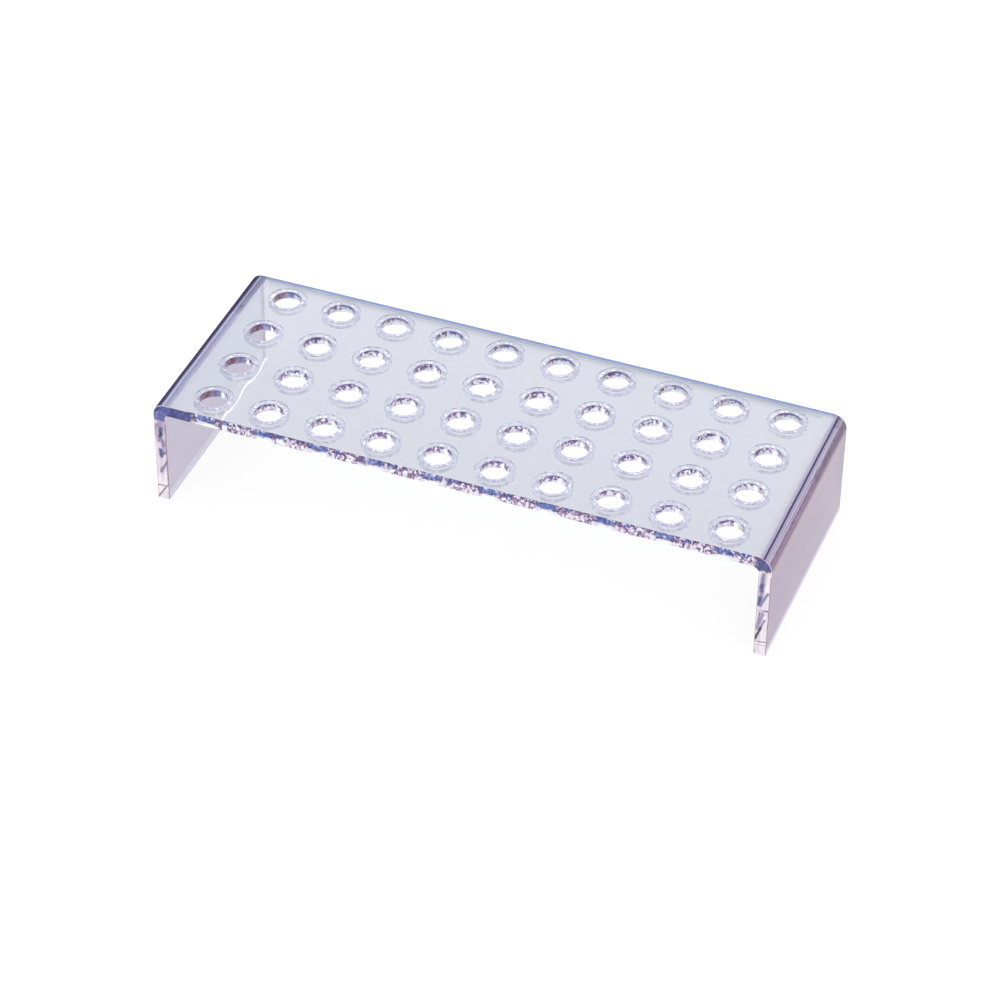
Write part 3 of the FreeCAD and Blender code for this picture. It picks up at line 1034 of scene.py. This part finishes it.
def ringMasks(tree, x, y, z):
    # the spot-faced rings, their thin painted outlines, and bright painted specks round the mouths
    seatEdge, sinkEdge = sheet["seatRadius"], sheet["sinkRadius"]
    across, along = fromHole(tree, x), fromHole(tree, y)
    radius = calc(tree, "SQRT", plus(tree, times(tree, across, across), times(tree, along, along)))
    front = plus(tree, times(tree, across, facing[0]), times(tree, along, facing[1]))
    inPlate = lessThan(tree, calc(tree, "ABSOLUTE", x), topEnd)
    onTop = times(tree, inPlate, moreThan(tree, z, high.z - ringLook["topSkin"]))
    onUnder = times(tree, inPlate, lessThan(tree, z, underside + ringLook["underSkin"]))
    seat = times(tree, onTop, lessThan(tree, radius, seatEdge))
    upper, lower = (
        within(tree, radius, edge + ringLook[name][0], edge + ringLook[name][1])
        for edge, name in ((seatEdge, "upperLine"), (sinkEdge, "lowerLine"))
    )
    fade = times(tree, above(tree, front, *ringLook["lineFade"]), ringLook["lineFaded"])
    upper = times(tree, upper, minus(tree, 1.0, fade))
    line = plus(tree, times(tree, onTop, upper), times(tree, onUnder, lower))
    start, end = ringLook["rim"]
    rim = times(tree, onTop, within(tree, radius, boreRadius + start, boreRadius + end))
    shade = times(tree, onTop, within(tree, radius, seatEdge - ringLook["shadeWidth"], seatEdge))
    shade = times(tree, shade, above(tree, front, *ringLook["shadeFrom"]))
    return seat, line, rim, shade


wavyLine = {
    "width": 0.65 * mm,                    # half of it
    "low": 0.15 * mm,                      # the lowest that it reaches up the leg
    "swing": 1.20 * mm,                    # it wanders, because the sheet beside the bend is uneven
    "lead": 0.3 * mm,
    "turns": 2 * math.pi / (21 * mm),
    "steady": (0.0 * mm, 10 * mm),         # towards the back it starts to wander here
    "depth": 0.7 * mm,                     # how far into the leg it may lie
    "glow": (1.25, 1.22, 1.25),
}


def wavyMask(tree, x, y, z):
    # the rounded left foot, seen down through the sheet as a bright line, painted as a glow
    wave = calc(tree, "SINE", times(tree, plus(tree, y, wavyLine["lead"]), wavyLine["turns"]))
    wave = times(tree, wave, above(tree, y, *wavyLine["steady"]), wavyLine["swing"])
    height = plus(tree, wave, wavyLine["swing"] + wavyLine["low"])
    near = lessThan(tree, calc(tree, "ABSOLUTE", minus(tree, z, height)), wavyLine["width"])
    return times(tree, near, within(tree, x, -(innerX + wavyLine["depth"]), 0.0))


def throughTint(tree, path, face, skin):
    # light that has already been turned or has passed two faces is tinted less by the next one
    turned = calc(tree, "MAXIMUM", moreThan(tree, path["Glossy Depth"], 0.5), skin)
    turned = times(tree, turned, moreThan(tree, path["Transmission Depth"], 0.5))
    face = mixColour(tree, turned, face, acrylic["gatherTint"])
    return mixColour(tree, moreThan(tree, path["Transmission Depth"], 1.5), face, acrylic["deepTint"])


def makePolished():
    material, tree, shader = newMaterial("polishedSheet", 1.0, acrylic["polish"])
    x, y, z = axes(tree)
    path = lightPath(tree)
    mark = useMarks(tree, ringLook["marks"])
    seat, line, rim, shade = ringMasks(tree, x, y, z)
    face, shadeCoat, skin = bendTone(tree, x, y, z)
    patch, speck = ringLook["mix"]
    tone = plus(tree, times(tree, mark["Patch"], patch), times(tree, mark["Speck"], speck))
    # painted light and shade: ring tones, shade at their fronts, outlines, and the back edge
    face = mixColour(tree, seat, face, colourRamp(tree, tone, ringLook["tones"]))
    face = mixColour(tree, times(tree, shade, ringLook["shadeShare"]), face, ringLook["shade"])
    outlineBreak = above(tree, mark["Patch"], *ringLook["outlineBreakFrom"])
    face = mixColour(tree, line, face, mixColour(tree, outlineBreak, ringLook["line"], ringLook["faint"]))
    onTop = moreThan(tree, z, high.z - acrylic["topSkin"])
    arris = times(tree, onTop, moreThan(tree, y, high.y - acrylic["arrisWidth"]))
    face = mixColour(tree, arris, face, acrylic["arris"])
    cutFaceShade = within(tree, calc(tree, "ABSOLUTE", x), 0.0, acrylic["cutFaceShadeEnd"])
    cutFaceShade = times(tree, onTop, cutFaceShade, within(tree, y, *acrylic["cutFaceShadeFrom"]))
    face = mixColour(tree, cutFaceShade, face, acrylic["cutFaceShade"])
    tree.links.new(throughTint(tree, path, face, skin), shader.inputs["Base Color"])

    # a dark coat over the bends: painted shade
    shader.inputs["Coat IOR"].default_value = 1.0
    shader.inputs["Coat Tint"].default_value = (*acrylic["shadeCoatTint"], 1)
    shallow = lessThan(tree, path["Transmission Depth"], 1.5)
    tree.links.new(times(tree, shadeCoat, shallow), shader.inputs["Coat Weight"])

    # painted glows: light far along the sheet, the foot's bright line, and glints round the mouths
    far = within(tree, path["Ray Depth"], *acrylic["farBounces"])
    glow = mixColour(tree, far, black, acrylic["farLight"])
    foot = times(tree, wavyMask(tree, x, y, z), moreThan(tree, path["Transmission Depth"], 1.5))
    glow = mixColour(tree, foot, glow, wavyLine["glow"])
    glint = times(tree, rim, moreThan(tree, mark["Speck"], ringLook["dull"]))
    glowWith(tree, shader, mixColour(tree, glint, glow, ringLook["glint"]))
    return material


for make in (makePolished, makeSawn, makeDrilled, makeFrosted):
    sheetMesh.materials.append(make())
print("finishes set,", len(sheetMesh.materials), "materials")

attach(rack, "root")
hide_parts("folded_sheet")

view = {
    "azimuth": 20.9003,
    "elevation": 39.187,
    "roll": 0.7653,
    "distance": 1.455044,
    "lens": 132.2703,
    "aim": (0.000124, 0.001034, 0.001131),
}


def placeCamera():
    data = bpy.data.cameras.new("camera")
    data.lens = view["lens"]
    data.sensor_width = 36
    data.clip_start, data.clip_end = 0.05, 50
    camera = bpy.data.objects.new("camera", data)
    scene.collection.objects.link(camera)
    turn = Matrix.Rotation(math.radians(view["azimuth"]), 3, "Z")
    turn @= Matrix.Rotation(math.radians(90 - view["elevation"]), 3, "X")
    back = turn @ Vector((0, 0, 1))
    turn @= Matrix.Rotation(math.radians(view["roll"]), 3, "Z")
    place = turn.to_4x4()
    place.translation = Vector(view["aim"]) + back * view["distance"]
    camera.matrix_world = place
    scene.camera = camera


placeCamera()

studio = {
    "floorSize": 12.0,
    "floorColour": (0.88, 0.88, 0.87),
    "floorShade": (0.16, 0.16, 0.155),
    "floorLift": (0.88, 0.88, 0.875),      # white for rays that carry the picture, with the shadow kept
    "boxToward": (-0.2765, 0.7241, 0.6318),
    "sky": [                               # from behind the soft box to its middle
        (0.0, (0.98, 0.96, 1.0)), (0.55, (0.90, 0.91, 0.98)), (0.90, (0.90, 0.91, 0.98)),
        (0.975, (1.8, 2.2, 2.3)),
    ],
}


def seen(tree):
    # 1 for rays that carry the picture: from the camera, a mirror or through the sheet
    path = lightPath(tree)
    both = calc(tree, "MAXIMUM", path["Is Camera Ray"], path["Is Glossy Ray"])
    return calc(tree, "MAXIMUM", both, path["Is Transmission Ray"])


def makeFloor():
    half = studio["floorSize"] / 2
    data = bpy.data.meshes.new("floor")
    corners = [(-half, -half, 0), (half, -half, 0), (half, half, 0), (-half, half, 0)]
    data.from_pydata(corners, [], [(0, 1, 2, 3)])
    floor = bpy.data.objects.new("floor", data)
    scene.collection.objects.link(floor)
    material = bpy.data.materials.new("paleFloor")
    material.use_nodes = True
    tree = material.node_tree
    matt = tree.nodes["Principled BSDF"]
    tone = mixColour(tree, seen(tree), studio["floorColour"], studio["floorShade"])
    tree.links.new(tone, matt.inputs["Base Color"])
    matt.inputs["Roughness"].default_value = 0.9
    white = tree.nodes.new("ShaderNodeEmission")
    white.inputs["Color"].default_value = (*studio["floorLift"], 1)
    tree.links.new(seen(tree), white.inputs["Strength"])
    both = tree.nodes.new("ShaderNodeAddShader")
    tree.links.new(matt.outputs[0], both.inputs[0])
    tree.links.new(white.outputs[0], both.inputs[1])
    tree.links.new(both.outputs[0], tree.nodes["Material Output"].inputs["Surface"])
    data.materials.append(material)


def makeWorld():
    world = bpy.data.worlds.new("studio")
    scene.world = world
    world.use_nodes = True
    tree = world.node_tree
    toward = tree.nodes.new("ShaderNodeTexCoord").outputs["Generated"]
    near = vectorCalc(tree, "DOT_PRODUCT", toward, Vector(studio["boxToward"]).normalized())
    tree.links.new(colourRamp(tree, near, studio["sky"]), tree.nodes["Background"].inputs["Color"])


makeFloor()
makeWorld()
scene.view_settings.view_transform = "Standard"
scene.cycles.glossy_bounces = 10
scene.cycles.transmission_bounces = 12
scene.cycles.max_bounces = 14
scene.cycles.diffuse_bounces = 2
print("stage set")
